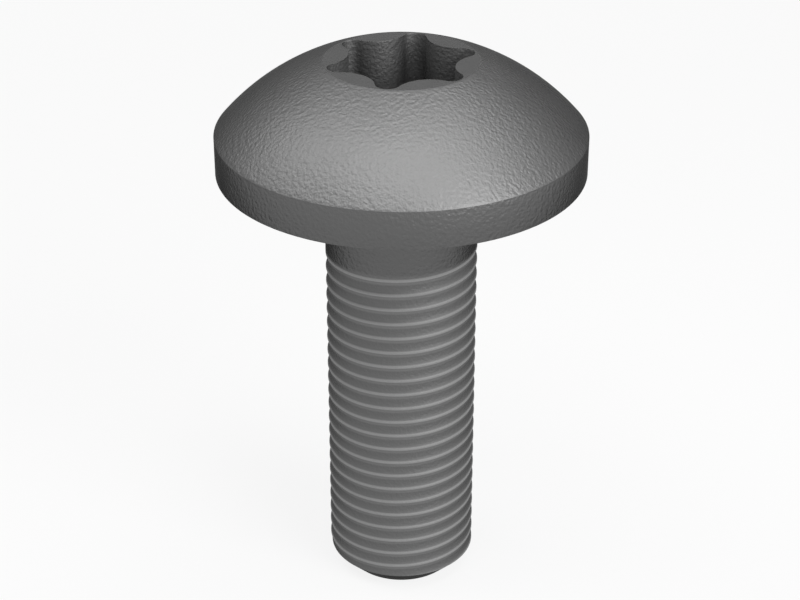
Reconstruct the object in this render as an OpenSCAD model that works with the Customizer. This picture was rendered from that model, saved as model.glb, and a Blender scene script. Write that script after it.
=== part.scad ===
// Truss head screw, M6 x 18: a wide, low domed head with a six-lobe recess over a straight
// shank with a plain neck, all one piece of steel. It stands on its flat tip, head up, with
// the origin at the centre of the tip's end face. The shank is drawn at the thread's outer
// diameter, and the fine thread runs inside that cylinder. Sizes are in millimetres.

/* [Shank] */
// Diameter of the neck, and of the thread over its crests
shank_d = 6; // [5.6:0.05:6.4]
// Length from the head's bearing face to the tip's end
shank_l = 18.1; // [10:0.1:60]
// Size of the 45 degree chamfer at the tip
tip_chamfer = 0.78; // [0.3:0.02:1.2]
// Radius of the fillet between the neck and the bearing face
neck_fillet = 0.25; // [0.1:0.05:0.6]

/* [Head] */
// Diameter of the head at its rim
head_d = 14.36; // [12.5:0.02:17]
// Height of the head from the bearing face to the flat top
head_h = 4.36; // [4:0.02:5.2]
// Height of the straight rim below the dome
rim_h = 1.5; // [0.8:0.05:2.2]
// Diameter of the flat on top of the dome
top_flat_d = 5.94; // [5.2:0.02:8]

/* [Recess] */
// Diameter across the tips of the six lobes
recess_d = 5.8; // [5.5:0.02:6]
// Diameter across the six waists between the lobes
waist_d = 4.15; // [3.9:0.05:4.4]
// Radius of each lobe's tip
lobe_r = 0.46; // [0.42:0.01:0.5]
// Depth of the recess's upright walls below the flat top
recess_depth = 2.7; // [2:0.05:3.2]
// Further depth of the coned floor
floor_h = 0.6; // [0.2:0.05:0.9]
// Width of the flat ledge between the waists and the coned floor
floor_ledge = 0.12; // [0.05:0.01:0.4]
// Angle from the X axis to the first lobe
recess_turn = 18; // [0:1:59]

/* [Hidden] */
$fn = 96;
lobes = 6;
lobe_step = 360 / lobes;
shank_r = shank_d / 2;
head_r = head_d / 2;
top_z = shank_l + head_h;
// The dome is one sphere through the rim's upper edge and the edge of the flat top
dome_drop = (pow(rim_h, 2) + pow(head_r, 2) - pow(head_h, 2) - pow(top_flat_d / 2, 2))
    / (2 * (head_h - rim_h));
dome_r = norm([top_flat_d / 2, head_h + dome_drop]);
// Each lobe's arc runs smoothly into a waist's arc, which fixes the waist's radius
lobe_at = recess_d / 2 - lobe_r;
waist_r = (pow(lobe_at, 2) + pow(waist_d / 2, 2) - lobe_at * waist_d * cos(lobe_step / 2)
    - pow(lobe_r, 2)) / (2 * (lobe_at * cos(lobe_step / 2) + lobe_r - waist_d / 2));
waist_at = waist_d / 2 + waist_r;
// The lobes' arcs lap the waists' by this little, so that no sliver is left where they meet
lap = 0.00005;
// Cutting tools run past the faces that they open by this much
past = 1;

// The point at a distance r from the axis, n lobes round from the first
function round_at(r, n) = r * [cos(n * lobe_step), sin(n * lobe_step)];

// Half section of the shank: straight, with the tip's chamfer
module shank_section() {
    polygon([
        [0, 0], [shank_r - tip_chamfer, 0], [shank_r, tip_chamfer],
        [shank_r, shank_l + rim_h / 2], [0, shank_l + rim_h / 2]
    ]);
}

// Half section of the fillet in the corner below the bearing face
module fillet_section() {
    translate([shank_r, shank_l - neck_fillet]) difference() {
        translate([-shank_r / 2, 0]) square([shank_r / 2 + neck_fillet, neck_fillet]);
        translate([neck_fillet, 0]) circle(neck_fillet);
    }
}

// Half section of the head: a straight rim under the dome, cut flat on top
module head_section() {
    intersection() {
        translate([0, shank_l - dome_drop]) circle(dome_r, $fn = 360);
        translate([0, shank_l]) square([head_r, head_h]);
    }
}

// The headed blank before the recess is punched
module blank() {
    rotate_extrude() {
        shank_section();
        fillet_section();
        head_section();
    }
}

// Outline of the recess: a star through the arcs' centres, with a waist cut at each outer
// point and a round lobe at each inner one. Its sides pass through the points where arcs meet.
module lobe_outline() {
    difference() {
        polygon([for (i = [0 : lobes - 1]) each [round_at(lobe_at, i), round_at(waist_at, i + 1 / 2)]]);
        for (i = [0 : lobes - 1]) translate(round_at(waist_at, i + 1 / 2)) circle(waist_r);
    }
    for (i = [0 : lobes - 1]) translate(round_at(lobe_at, i)) circle(lobe_r + lap);
}

// The punch that forms the recess: upright lobed walls over a shallow coned floor
module punch() {
    translate([0, 0, top_z - recess_depth]) rotate(recess_turn)
        linear_extrude(recess_depth + past) lobe_outline();
    translate([0, 0, top_z - recess_depth - floor_h])
        cylinder(h = floor_h, r1 = 0, r2 = waist_d / 2 - floor_ledge);
}

module screw() {
    color([0.62, 0.62, 0.62]) difference() {
        blank();
        punch();
    }
}

screw();
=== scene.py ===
from math import asin, atan2, cos, hypot, pi, radians, sin

import bmesh
import bpy
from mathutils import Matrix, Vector


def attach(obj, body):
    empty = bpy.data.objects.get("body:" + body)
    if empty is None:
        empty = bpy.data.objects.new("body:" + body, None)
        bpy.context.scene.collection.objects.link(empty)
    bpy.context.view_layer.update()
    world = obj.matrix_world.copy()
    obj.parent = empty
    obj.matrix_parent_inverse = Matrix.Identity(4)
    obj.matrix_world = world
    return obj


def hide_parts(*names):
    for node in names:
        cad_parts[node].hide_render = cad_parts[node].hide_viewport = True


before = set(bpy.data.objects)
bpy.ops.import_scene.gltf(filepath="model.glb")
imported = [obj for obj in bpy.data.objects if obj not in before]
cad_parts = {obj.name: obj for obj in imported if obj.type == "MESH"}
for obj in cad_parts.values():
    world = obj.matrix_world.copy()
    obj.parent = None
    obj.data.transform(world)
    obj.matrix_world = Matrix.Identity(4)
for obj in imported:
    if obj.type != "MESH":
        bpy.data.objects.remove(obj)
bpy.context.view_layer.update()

MM = 0.001

# Sizes of the screw, in millimetres from the tip's end face up
SHANK_R = 3.0
CHAMFER = 0.78
BEARING_Z = 18.1
NECK_FILLET = 0.25
HEAD_R = 7.175
RIM_Z = 19.6
FLAT_R = 2.97
TOP_Z = 22.46
EDGE_BREAK = 0.015

# The dome is one sphere through the rim's upper edge and the edge of the flat top
DOME_Z = (RIM_Z**2 + HEAD_R**2 - TOP_Z**2 - FLAT_R**2) / (2 * (RIM_Z - TOP_Z))
DOME_R = hypot(FLAT_R, TOP_Z - DOME_Z)

# The thread: right-handed, one start. A crest passes the front of the screw at CREST_Z
PITCH = 0.635
CREST_Z = 14.63
CREST_LAND = 0.04
THREAD_TURNS = 23
GROOVE_DEPTH = 0.055
GROOVE_POWER = 2.5
# The groove's cutter stands this far out of the shank
GROOVE_PAST = 0.12
# Behind the neck the cutter leaves the shank over this turn, and clears it by this much
RUN_OUT = radians(140)
RUN_OUT_PAST = 0.02
RUN_OUT_POWER = 1.5

# The recess: six lobes between six waists, with upright walls over a coned floor
LOBES = 6
LOBE_TIP_R = 2.9
WAIST_R = 2.075
LOBE_ROUND = 0.46
RECESS_DEPTH = 2.7
FLOOR_DEPTH = 0.6
FLOOR_R = 1.955
RECESS_TURN = radians(18)
MOUTH_BREAK = 0.015
# How far the punch runs on past the flat top, and its point up into the punch
PUNCH_PAST = 1
POINT_LAP = 0.1

# Steps of the curves. The groove's steps round the screw meet the blank's, so that no sliver is
# left between them
ROUND_STEPS = 144
FILLET_STEPS = 6
DOME_STEPS = 32
GROOVE_STEPS = 14
LOBE_STEPS = 20
WAIST_STEPS = 24
POINT_STEPS = 96
# Points nearer than this are one point
NEAR = 0.0005
# Edges that turn by less than this are shaded smooth
SMOOTH_BELOW = radians(28)
ORIGIN = (0, 0, 0)
UP = (0, 0, 1)


def new_piece(name):
    """Names what was just added, leaves it in edit mode with all of it selected."""
    piece = bpy.context.object
    piece.name = piece.data.name = name
    bpy.ops.object.mode_set(mode="EDIT")
    bpy.ops.mesh.select_mode(type="VERT")
    bpy.ops.mesh.select_all(action="SELECT")
    return piece


def new_point(name, x, y, z):
    """A piece that is one point so far, at this place in millimetres, ready to be drawn out."""
    bpy.ops.object.select_all(action="DESELECT")
    bpy.ops.mesh.primitive_plane_add(size=1 * MM, location=ORIGIN)
    piece = new_piece(name)
    bpy.ops.mesh.merge(type="CENTER")
    bpy.ops.transform.translate(value=(x * MM, y * MM, z * MM))
    return piece


def extrude(x, y, z):
    """Draws what is selected out by these millimetres."""
    bpy.ops.mesh.extrude_region_move(TRANSFORM_OT_translate={"value": (x * MM, y * MM, z * MM)})


def widen(factor):
    """Scales what is selected away from the screw's axis."""
    bpy.ops.transform.resize(value=(factor, factor, 1), center_override=ORIGIN)


def select(piece, kind, test):
    """In edit mode, selects only the edges or faces that pass the test."""
    bpy.ops.mesh.select_mode(type={"edges": "EDGE", "faces": "FACE"}[kind])
    bpy.ops.mesh.select_all(action="DESELECT")
    shape = bmesh.from_edit_mesh(piece.data)
    for part in getattr(shape, kind):
        if test(part):
            part.select_set(True)
    shape.select_flush_mode()
    bmesh.update_edit_mesh(piece.data)


def on_ring(radius, height):
    """A test of whether an edge lies on the circle of this radius and height, in millimetres."""
    def on_it(point):
        return (abs(hypot(point.x, point.y) - radius * MM) < NEAR * MM
                and abs(point.z - height * MM) < NEAR * MM)

    return lambda edge: all(on_it(vert.co) for vert in edge.verts)


def finish_edit():
    """Makes the faces of the piece in edit mode point outwards and leaves edit mode."""
    bpy.ops.mesh.select_all(action="SELECT")
    bpy.ops.mesh.normals_make_consistent(inside=False)
    bpy.ops.object.mode_set(mode="OBJECT")


def cut(piece, cutter):
    """Cuts the cutter's shape out of the piece, removes the cutter and merges points that meet."""
    bpy.ops.object.select_all(action="DESELECT")
    bpy.context.view_layer.objects.active = piece
    piece.select_set(True)
    tool = piece.modifiers.new("cut", "BOOLEAN")
    tool.operation = "DIFFERENCE"
    tool.solver = "MANIFOLD"
    tool.object = cutter
    bpy.ops.object.modifier_apply(modifier=tool.name)
    bpy.data.objects.remove(cutter)
    bpy.ops.object.mode_set(mode="EDIT")
    bpy.ops.mesh.select_mode(type="VERT")
    bpy.ops.mesh.select_all(action="SELECT")
    bpy.ops.mesh.remove_doubles(threshold=NEAR * MM)
    bpy.ops.object.mode_set(mode="OBJECT")


def headed_blank():
    """The screw before its thread is rolled and its recess is punched: a disc at the tip's end,
    drawn up ring by ring along the screw's section."""
    section = [(SHANK_R, CHAMFER), (SHANK_R, BEARING_Z - NECK_FILLET)]
    for i in range(1, FILLET_STEPS + 1):
        a = radians(90) * i / FILLET_STEPS
        section.append((SHANK_R + NECK_FILLET * (1 - cos(a)),
                        BEARING_Z - NECK_FILLET * (1 - sin(a))))
    section += [(HEAD_R, BEARING_Z), (HEAD_R, RIM_Z)]
    low, high = asin(HEAD_R / DOME_R), asin(FLAT_R / DOME_R)
    for i in range(1, DOME_STEPS + 1):
        a = low + (high - low) * i / DOME_STEPS
        section.append((DOME_R * sin(a), DOME_Z + DOME_R * cos(a)))

    tip = (SHANK_R - CHAMFER, 0)
    r, z = tip
    bpy.ops.object.select_all(action="DESELECT")
    bpy.ops.mesh.primitive_circle_add(vertices=ROUND_STEPS, radius=r * MM, fill_type="NGON")
    piece = new_piece("screw_dressed")
    for new_r, new_z in section:
        extrude(0, 0, new_z - z)
        widen(new_r / r)
        r, z = new_r, new_z
    for ring in (tip, (HEAD_R, BEARING_Z), (HEAD_R, RIM_Z), (FLAT_R, TOP_Z)):
        select(piece, "edges", on_ring(*ring))
        bpy.ops.mesh.bevel(offset=EDGE_BREAK * MM, segments=2, affect="EDGES")
    finish_edit()
    return piece


def thread_groove():
    """The groove between the crests: its section swept up round the shank, then moved out of it
    little by little at the back, below the head."""
    half = (PITCH - CREST_LAND) / 2
    outer = SHANK_R + GROOVE_PAST
    section = [(outer, -half)]
    for i in range(GROOVE_STEPS + 1):
        across = -1 + 2 * i / GROOVE_STEPS
        section.append((SHANK_R - GROOVE_DEPTH * (1 - abs(across) ** GROOVE_POWER), across * half))
    section.append((outer, half))

    # The sweep starts and ends a quarter turn from the front, midway between two crests
    end_z = CREST_Z - PITCH / 4
    start_z = end_z - THREAD_TURNS * PITCH
    piece = new_point("thread_groove", section[0][0], 0, section[0][1] + start_z)
    for (x0, z0), (x1, z1) in zip(section, section[1:]):
        extrude(x1 - x0, 0, z1 - z0)
    bpy.ops.mesh.select_all(action="SELECT")
    bpy.ops.mesh.edge_face_add()
    bpy.ops.mesh.delete(type="ONLY_FACE")
    bpy.ops.object.mode_set(mode="OBJECT")

    sweep = piece.modifiers.new("sweep", "SCREW")
    sweep.angle = 2 * pi
    sweep.screw_offset = PITCH * MM
    sweep.iterations = THREAD_TURNS
    sweep.steps = sweep.render_steps = ROUND_STEPS
    sweep.use_merge_vertices = False
    bpy.ops.object.modifier_apply(modifier=sweep.name)

    bpy.ops.object.mode_set(mode="EDIT")
    bpy.ops.mesh.select_all(action="SELECT")
    bpy.ops.mesh.fill_holes(sides=0)
    bpy.ops.mesh.normals_make_consistent(inside=False)
    above = (end_z - PITCH / 2) * MM
    select(piece, "faces", lambda f: len(f.verts) > 4 and f.calc_center_median().z > above)
    step = 2 * pi / ROUND_STEPS
    run_steps = round(RUN_OUT / step)
    out = 1
    for i in range(1, run_steps + 1):
        extrude(0, 0, PITCH / ROUND_STEPS)
        bpy.ops.transform.rotate(value=-step, orient_axis="Z", center_override=ORIGIN)
        moved = (GROOVE_DEPTH + RUN_OUT_PAST) * (i / run_steps) ** RUN_OUT_POWER
        wanted = 1 + moved / SHANK_R
        widen(wanted / out)
        out = wanted
    finish_edit()
    return piece


def round_at(radius, angle):
    """The point at this radius and angle about the screw's axis."""
    return Vector((radius * cos(angle), radius * sin(angle), 0))


def spin(steps, angle, centre, **settings):
    """Turns what is selected about an upright line through the centre, in millimetres."""
    bpy.ops.mesh.spin(steps=steps, angle=angle, center=(centre.x * MM, centre.y * MM, 0), axis=UP,
                      use_auto_merge=False, **settings)


def recess_punch():
    """The punch for the recess: one lobe's arc and one waist's arc, turned round six times into
    a closed outline, filled and drawn up through the flat top."""
    lobe_at = LOBE_TIP_R - LOBE_ROUND
    half_step = pi / LOBES
    # The waist's arc runs on smoothly from the lobe's, which fixes its radius
    waist_round = (
        lobe_at**2 + WAIST_R**2 - 2 * lobe_at * WAIST_R * cos(half_step) - LOBE_ROUND**2
    ) / (2 * (lobe_at * cos(half_step) + LOBE_ROUND - WAIST_R))
    lobe = round_at(lobe_at, RECESS_TURN)
    waist_a = RECESS_TURN + half_step
    waist = round_at(WAIST_R + waist_round, waist_a)
    # The arcs meet on the line between their centres
    lean = atan2(waist.y - lobe.y, waist.x - lobe.x) - RECESS_TURN
    back = atan2(lobe.y - waist.y, lobe.x - waist.x)
    waist_turn = (back - (waist_a + pi) + pi) % (2 * pi) - pi

    start = lobe + LOBE_ROUND * round_at(1, RECESS_TURN - lean)
    piece = new_point("recess_punch", start.x, start.y, TOP_Z - RECESS_DEPTH)
    spin(LOBE_STEPS, -2 * lean, lobe)
    spin(WAIST_STEPS, 2 * waist_turn, waist)
    bpy.ops.mesh.select_all(action="SELECT")
    spin(LOBES - 1, 2 * pi * (LOBES - 1) / LOBES, Vector(ORIGIN), dupli=True)
    bpy.ops.mesh.select_all(action="SELECT")
    bpy.ops.mesh.remove_doubles(threshold=NEAR * MM)
    bpy.ops.mesh.edge_face_add()
    extrude(0, 0, RECESS_DEPTH - 2 * MOUTH_BREAK)
    extrude(0, 0, 2 * MOUTH_BREAK)
    widen(1 + MOUTH_BREAK / LOBE_TIP_R)
    extrude(0, 0, PUNCH_PAST)
    finish_edit()
    return piece


def floor_punch():
    """The point of the punch, which cones the recess's floor."""
    bpy.ops.object.select_all(action="DESELECT")
    floor_z = TOP_Z - RECESS_DEPTH
    bpy.ops.mesh.primitive_cone_add(
        vertices=POINT_STEPS, radius1=0, radius2=FLOOR_R * MM, depth=FLOOR_DEPTH * MM,
        location=(0, 0, (floor_z - FLOOR_DEPTH / 2) * MM),
    )
    piece = new_piece("floor_punch")
    select(piece, "faces", lambda f: len(f.verts) > 4)
    extrude(0, 0, POINT_LAP)
    finish_edit()
    bpy.ops.object.transform_apply(location=True, rotation=True, scale=True)
    return piece


screw = headed_blank()
cut(screw, recess_punch())
cut(screw, floor_punch())
cut(screw, thread_groove())
bpy.ops.object.shade_smooth_by_angle(angle=SMOOTH_BELOW)
# Wide faces keep their own slope up to the small breaks beside them
evened = screw.modifiers.new("evened", "WEIGHTED_NORMAL")
evened.keep_sharp = True
bpy.ops.object.modifier_apply(modifier=evened.name)

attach(screw, "root")
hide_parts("screw")


# The steel. A lift is a share of its grey that is added, a rough is added to its roughness. Every
# lift is painted light or shade: a lighter or darker grey in place of the light that falls on that
# part.
# With no edge tint, faces seen edge on grow no brighter
STEEL_GREY = 0.116
STEEL_ROUGH = 0.51
EDGE_TINT = 0.0
# Painted light: the inner part of the dome, beside the flat top, is painted lighter in place of
# the light on its upward faces
CROWN_PAINTED_LIGHT = 0.11
# Painted shade: the flat top is painted a little darker in place of the lesser light on it
FLAT_PAINTED_SHADE = -0.07
FLAT_ROUGH = 0.09
# Painted light: the rim's upright face is painted lighter
RIM_PAINTED_LIGHT = 0.11
# Painted light: the neck is painted lighter to make up for the head's shadow on it
NECK_PAINTED_LIGHT = 0.12
STRAIGHT_ROUGH = -0.06
# Painted shade: the recess's walls and the break round its mouth are painted darker, a shade in
# the hollow that also dims the highlight on the break
RECESS_PAINTED_SHADE = -0.22
RECESS_ROUGH = 0.15
# The rolled thread: painted lighter than the rest, a painted light, and lighter still on the
# crests, partly as wear and partly as a painted highlight, and just under them, as painted light
THREAD_PAINTED_LIGHT = 0.23
THREAD_ROUGH = 0.07
# Partly wear, partly painted highlight: the grey added along each crest
CREST_WEAR_AND_HIGHLIGHT = 0.135
CREST_ROUGH = 0.13
# Painted light: just under each crest, where the groove's flank faces down into shade, the grey is
# painted lighter
UNDER_CREST_PAINTED_LIGHT = 0.4
# The first crest below the neck, and the neck just above it: both painted lighter, a painted
# highlight where the crest has no groove above it to catch the light
FIRST_CREST_HIGHLIGHT = 0.15
FIRST_NECK_PAINTED_LIGHT = 0.33
# The grain: bumps to the millimetre, their depth in millimetres, and the grain's strength on
# faces other than the dome, where it is 1
GRAIN_FINE = 7.2
GRAIN_DEPTH = 0.03
RIM_GRAIN = 1.1
RECESS_GRAIN = 1.15
SHANK_GRAIN = 1.05
# The share of the grain that is rubbed off the thread's crests, and how much less off its groove
RUBBED_CREST = 0.85
RUBBED_LESS = 0.5
# The mottle: patches to the millimetre, and how far they change the grey and the roughness
MOTTLE_FINE = 0.9
MOTTLE_TONE = 0.06
MOTTLE_ROUGH = 0.04

# Where the parts of the surface begin and end. Each is a smooth step between two heights (Z) or
# two distances from the axis (R), in millimetres
DOME_FROM_Z = (RIM_Z - 0.02, RIM_Z + 0.05)
DOME_FROM_R = (FLAT_R - 0.01, FLAT_R + 0.08)
CROWN_TO_R = (FLAT_R, 5.0)
FLAT_FROM_Z = (TOP_Z - 0.02, TOP_Z - 0.005)
RIM_FROM_R = (HEAD_R - 0.2, HEAD_R - 0.05)
RIM_TO_Z = (RIM_Z - 0.05, RIM_Z)
RECESS_TO_R = (FLAT_R - 0.03, FLAT_R)
RECESS_FROM_Z = (18, 18.2)
RECESS_TO_Z = (TOP_Z - 0.06, TOP_Z - 0.02)
MOUTH_TO_Z = (TOP_Z - 0.012, TOP_Z - 0.002)
SHANK_TO_R = (3.2, 3.4)
SHANK_FROM_Z = (0.7, 0.85)
SHANK_TO_Z = (18, 18.1)
# The same along the screw, as distances from the nearest crest
CREST_TO = (0.02, 0.11)
CREST_ROUGH_TO = (0.05, 0.16)
RUBBED_TO = (0.08, 0.25)
# The same, as heights above the last crest
THREAD_TO = (0.1, 0.2)
LAST_FROM = (-PITCH / 2, -PITCH / 2 + 0.05)
FIRST_FROM = (-0.3, -0.15)
ABOVE_FROM = (0.0, 0.03)
ABOVE_TO = (0.03, 0.3)
# The same, in turns down from a crest
UNDER_FROM = (0.0, 0.03)
UNDER_TO = (0.23, 0.4)
# The same, in turns round the screw from its front. The thread's last turn starts at the first
LAST_TURN_START = -0.375
LAST_TURN_FADES = (0.3, 0.6)
ABOVE_FROM_TURN = (-0.35, -0.25)


class Wire:
    """A socket of a material's tree. A sum or product of sockets and numbers adds Math nodes."""

    def __init__(self, tree, socket):
        self.tree, self.socket = tree, socket

    def node(self, kind, settings, inputs, out=0):
        """Adds any node: its settings are set first, then the values or links of its sockets."""
        made = self.tree.nodes.new("ShaderNode" + kind)
        for name, value in settings.items():
            setattr(made, name, value)
        for name, value in inputs.items():
            if isinstance(value, Wire):
                self.tree.links.new(value.socket, made.inputs[name])
            else:
                made.inputs[name].default_value = value
        return Wire(self.tree, made.outputs[out])

    def beside(self, name):
        """Another output of the same node."""
        return Wire(self.tree, self.socket.node.outputs[name])

    def maths(self, operation, *values):
        return self.node("Math", {"operation": operation}, dict(enumerate(values)))

    def __add__(self, other):
        return self.maths("ADD", self, other)

    def __radd__(self, other):
        return self.maths("ADD", other, self)

    def __sub__(self, other):
        return self.maths("SUBTRACT", self, other)

    def __rsub__(self, other):
        return self.maths("SUBTRACT", other, self)

    def __mul__(self, other):
        return self.maths("MULTIPLY", self, other)

    def __rmul__(self, other):
        return self.maths("MULTIPLY", other, self)

    def __truediv__(self, other):
        return self.maths("DIVIDE", self, other)

    def __abs__(self):
        return self.maths("ABSOLUTE", self)

    def fraction(self):
        """The part after the point, from 0 to 1."""
        return self.maths("FRACT", self)

    def most(self, other):
        """The larger of the two."""
        return self.maths("MAXIMUM", self, other)

    def starts(self, low, high):
        """0 below low, 1 above high and a smooth rise between."""
        return self.node("MapRange", {"interpolation_type": "SMOOTHSTEP"},
                         {0: self, 1: low, 2: high, 3: 0.0, 4: 1.0})

    def ends(self, low, high):
        """1 below low, 0 above high and a smooth fall between."""
        return 1 - self.starts(low, high)

    def as_grey(self):
        """A grey of this value."""
        return self.node("CombineColor", {}, {0: self, 1: self, 2: self})


def empty_material(name):
    made = bpy.data.materials.new(name)
    made.use_nodes = True
    made.node_tree.nodes.clear()
    return made, Wire(made.node_tree, None)


def out_to(wire, surface, kind="OutputMaterial"):
    end = wire.tree.nodes.new("ShaderNode" + kind)
    wire.tree.links.new(surface.socket, end.inputs["Surface"])


def steel_finish():
    """Dull grey steel: grained all over but for the flat faces, less so on the thread, and bright
    along the thread's crests, which are partly worn and partly carry a painted highlight. Its grey
    holds painted light on the dome's inner part, the rim, the neck and the thread, and painted
    shade on the flat top and in the recess."""
    made, wire = empty_material("dull_grey_steel")
    here = wire.node("TexCoord", {}, {}, out="Object")
    place = wire.node("VectorMath", {"operation": "SCALE"}, {0: here, "Scale": 1 / MM})
    x = wire.node("SeparateXYZ", {}, {0: place})
    y, z = x.beside("Y"), x.beside("Z")
    r = wire.maths("SQRT", x * x + y * y)
    turn = wire.maths("ARCTAN2", x, y * -1.0) / (2 * pi)

    # Where a point lies between the crests, along the screw
    steps_up = (z - CREST_Z) / PITCH - turn
    from_crest = abs((steps_up + 0.5).fraction() - 0.5) * PITCH
    turns_down = 1 - steps_up.fraction()
    # The last crest fades out behind the neck, where the groove runs out
    last_turn = (turn - LAST_TURN_START).fraction() + LAST_TURN_START
    above_last = (z - CREST_Z) - last_turn * PITCH
    kept = 1 - above_last.starts(*LAST_FROM) * last_turn.starts(*LAST_TURN_FADES)

    # The parts of the surface, each 1 where it is and 0 elsewhere
    dome = z.starts(*DOME_FROM_Z) * r.starts(*DOME_FROM_R)
    painted_light_on_crown = dome * r.ends(*CROWN_TO_R)
    flat = z.starts(*FLAT_FROM_Z)
    rim = r.starts(*RIM_FROM_R) * z.ends(*RIM_TO_Z)
    hollow = r.ends(*RECESS_TO_R) * z.starts(*RECESS_FROM_Z)
    recess = hollow * z.ends(*RECESS_TO_Z)
    painted_shade_in_recess = hollow * z.ends(*MOUTH_TO_Z)
    shank = r.ends(*SHANK_TO_R) * z.ends(*SHANK_TO_Z) * z.starts(*SHANK_FROM_Z)
    threaded = above_last.ends(*THREAD_TO) * z.starts(*SHANK_FROM_Z) * kept
    neck = shank * (1 - threaded)
    # The crest mask carries wear and a painted highlight; the masks below it carry painted light
    crest = from_crest.ends(*CREST_TO) * threaded
    under = turns_down.starts(*UNDER_FROM) * turns_down.ends(*UNDER_TO) * threaded
    first = above_last.starts(*FIRST_FROM)
    painted_light_above_first = above_last.starts(*ABOVE_FROM) * above_last.ends(*ABOVE_TO)
    painted_light_above_first = painted_light_above_first * kept * last_turn.starts(*ABOVE_FROM_TURN) * shank

    mottle = wire.node("TexNoise", {}, {"Vector": place, "Scale": MOTTLE_FINE,
                                        "Detail": 3.0, "Roughness": 0.6})
    tone = (1 - MOTTLE_TONE / 2) + MOTTLE_TONE * mottle
    # Painted light and shade: each part's grey is lifted or lowered in place of the light that
    # falls on it, and the crests add a grey that is partly wear, partly a painted highlight
    lift = (1 + THREAD_PAINTED_LIGHT * threaded) * (1 + UNDER_CREST_PAINTED_LIGHT * under)
    for part, change in ((painted_light_on_crown, CROWN_PAINTED_LIGHT), (flat, FLAT_PAINTED_SHADE), (rim, RIM_PAINTED_LIGHT),
                         (neck, NECK_PAINTED_LIGHT), (painted_shade_in_recess, RECESS_PAINTED_SHADE),
                         (painted_light_above_first, FIRST_NECK_PAINTED_LIGHT)):
        lift = lift + change * part
    grey = STEEL_GREY * tone * lift + CREST_WEAR_AND_HIGHLIGHT * crest * (1 + FIRST_CREST_HIGHLIGHT * first)

    roughness = (STEEL_ROUGH - MOTTLE_ROUGH / 2) + MOTTLE_ROUGH * mottle
    for part, change in ((recess, RECESS_ROUGH), (flat, FLAT_ROUGH), (rim + neck, STRAIGHT_ROUGH),
                         (threaded, THREAD_ROUGH),
                         (from_crest.ends(*CREST_ROUGH_TO) * threaded, CREST_ROUGH)):
        roughness = roughness + change * part

    grain = wire.node("TexNoise", {}, {"Vector": place, "Scale": GRAIN_FINE,
                                       "Detail": 1.0, "Roughness": 0.5})
    rubbed = (RUBBED_CREST - RUBBED_LESS * from_crest.starts(*RUBBED_TO)) * threaded
    grained = dome.most(rim * RIM_GRAIN).most(recess * RECESS_GRAIN)
    grained = grained.most(shank * SHANK_GRAIN * (1 - rubbed))
    # The bumps go up and down from the surface, so that the grain's borders leave no step
    bump = wire.node("Bump", {}, {"Strength": 1.0, "Distance": GRAIN_DEPTH * MM,
                                  "Height": (grain - 0.5) * grained})
    surface = wire.node(
        "BsdfPrincipled", {},
        {"Base Color": grey.as_grey(), "Roughness": roughness, "Metallic": 1.0, "Normal": bump,
         "Specular Tint": (EDGE_TINT, EDGE_TINT, EDGE_TINT, 1)},
    )
    out_to(wire, surface)
    return made


WHITE = (1, 1, 1, 1)
FLOOR_SIZE = 1.2
FLOOR_GREY = 0.08
# The floor shows this pale under the lamps, and nearly white far from them, in metres
NEAR_GLOW = 0.86
FAR_GLOW = 0.98
GLOW_RISES = (0.03, 0.25)
WORLD_LIGHT = 0.12
# The lamps aim at this point of the screw, from this far away
LAMP_AIM = Vector((0, 0, 14 * MM))
LAMP_AWAY = 0.15
LAMP_WIDTH = 0.1
# Each lamp: its angle above the horizon and to the right of the camera, and its light
LAMPS = {
    "soft_lamp_above": (radians(70), radians(-20), 1.71),
    "soft_lamp_above_right": (radians(70), radians(100), 1.15),
    "soft_lamp_at_left": (radians(52), radians(-100), 1.21),
    "soft_lamp_at_right": (radians(32), radians(45), 3.22),
}
CAMERA_AT = (-0.000054, -0.068508, 0.049444)
CAMERA_DOWN = 28.531
CAMERA_LENS = 87.54
CAMERA_SENSOR = 36


def seen(wire):
    """1 for rays that show the background: straight to the camera, mirrored or through glass."""
    path = wire.node("LightPath", {}, {}, out="Is Camera Ray")
    return path.most(path.beside("Is Glossy Ray")).most(path.beside("Is Transmission Ray"))


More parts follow.
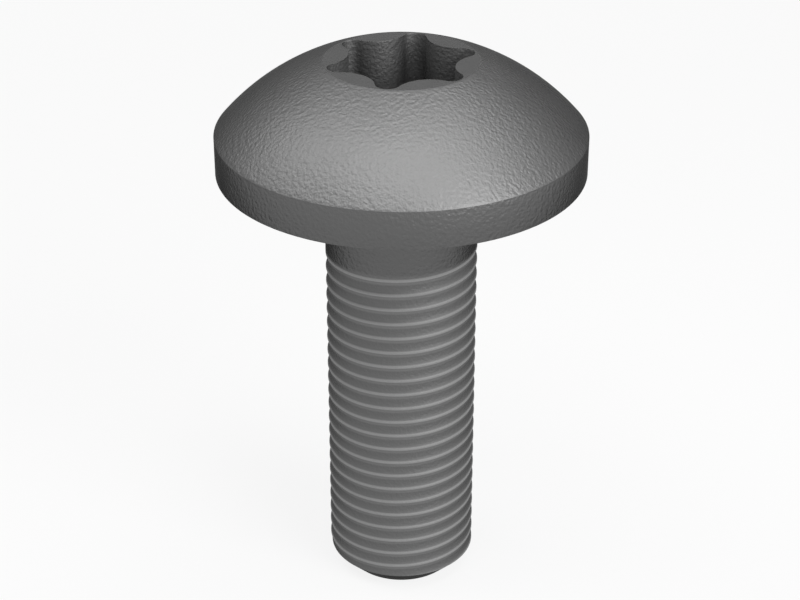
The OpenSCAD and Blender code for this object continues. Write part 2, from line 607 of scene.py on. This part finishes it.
def pale_floor():
    """A floor that takes the screw's shadow and is pale to the eye."""
    bpy.ops.object.select_all(action="DESELECT")
    bpy.ops.mesh.primitive_plane_add(size=FLOOR_SIZE, location=ORIGIN)
    floor = bpy.context.object
    floor.name = "floor"
    made, wire = empty_material("pale_floor")
    diffuse = wire.node("BsdfDiffuse", {}, {"Color": (FLOOR_GREY, FLOOR_GREY, FLOOR_GREY, 1)})
    here = wire.node("TexCoord", {}, {}, out="Object")
    away = wire.node("VectorMath", {"operation": "LENGTH"}, {0: here}, out="Value")
    pale = NEAR_GLOW + (FAR_GLOW - NEAR_GLOW) * away.starts(*GLOW_RISES)
    glow = wire.node("Emission", {}, {"Color": WHITE, "Strength": seen(wire) * pale})
    out_to(wire, wire.node("AddShader", {}, {0: diffuse, 1: glow}))
    floor.data.materials.append(made)


def white_surroundings():
    """A white background that gives off only a little light."""
    world = bpy.data.worlds.new("studio")
    world.use_nodes = True
    world.node_tree.nodes.clear()
    wire = Wire(world.node_tree, None)
    strength = seen(wire) * (1 - WORLD_LIGHT) + WORLD_LIGHT
    out_to(wire, wire.node("Background", {}, {"Color": WHITE, "Strength": strength}),
           "OutputWorld")
    bpy.context.scene.world = world


def soft_lamps():
    for name, (lift, side, light) in LAMPS.items():
        toward = Vector((cos(lift) * sin(side), -cos(lift) * cos(side), sin(lift)))
        bpy.ops.object.light_add(type="AREA", location=LAMP_AIM + toward * LAMP_AWAY)
        lamp = bpy.context.object
        lamp.name = lamp.data.name = name
        lamp.rotation_euler = toward.to_track_quat("Z", "Y").to_euler()
        lamp.data.shape = "DISK"
        lamp.data.size = LAMP_WIDTH
        lamp.data.energy = light * pi * LAMP_AWAY**2


def camera():
    """Looks down at the screw as the photograph does."""
    bpy.ops.object.camera_add(location=CAMERA_AT, rotation=(radians(90 - CAMERA_DOWN), 0, 0))
    made = bpy.context.object
    made.data.sensor_width = CAMERA_SENSOR
    made.data.lens = CAMERA_LENS
    made.data.clip_start, made.data.clip_end = 0.002, 10
    bpy.context.scene.camera = made


screw.data.materials.clear()
screw.data.materials.append(steel_finish())
pale_floor()
white_surroundings()
soft_lamps()
camera()
bpy.context.scene.view_settings.view_transform = "Standard"
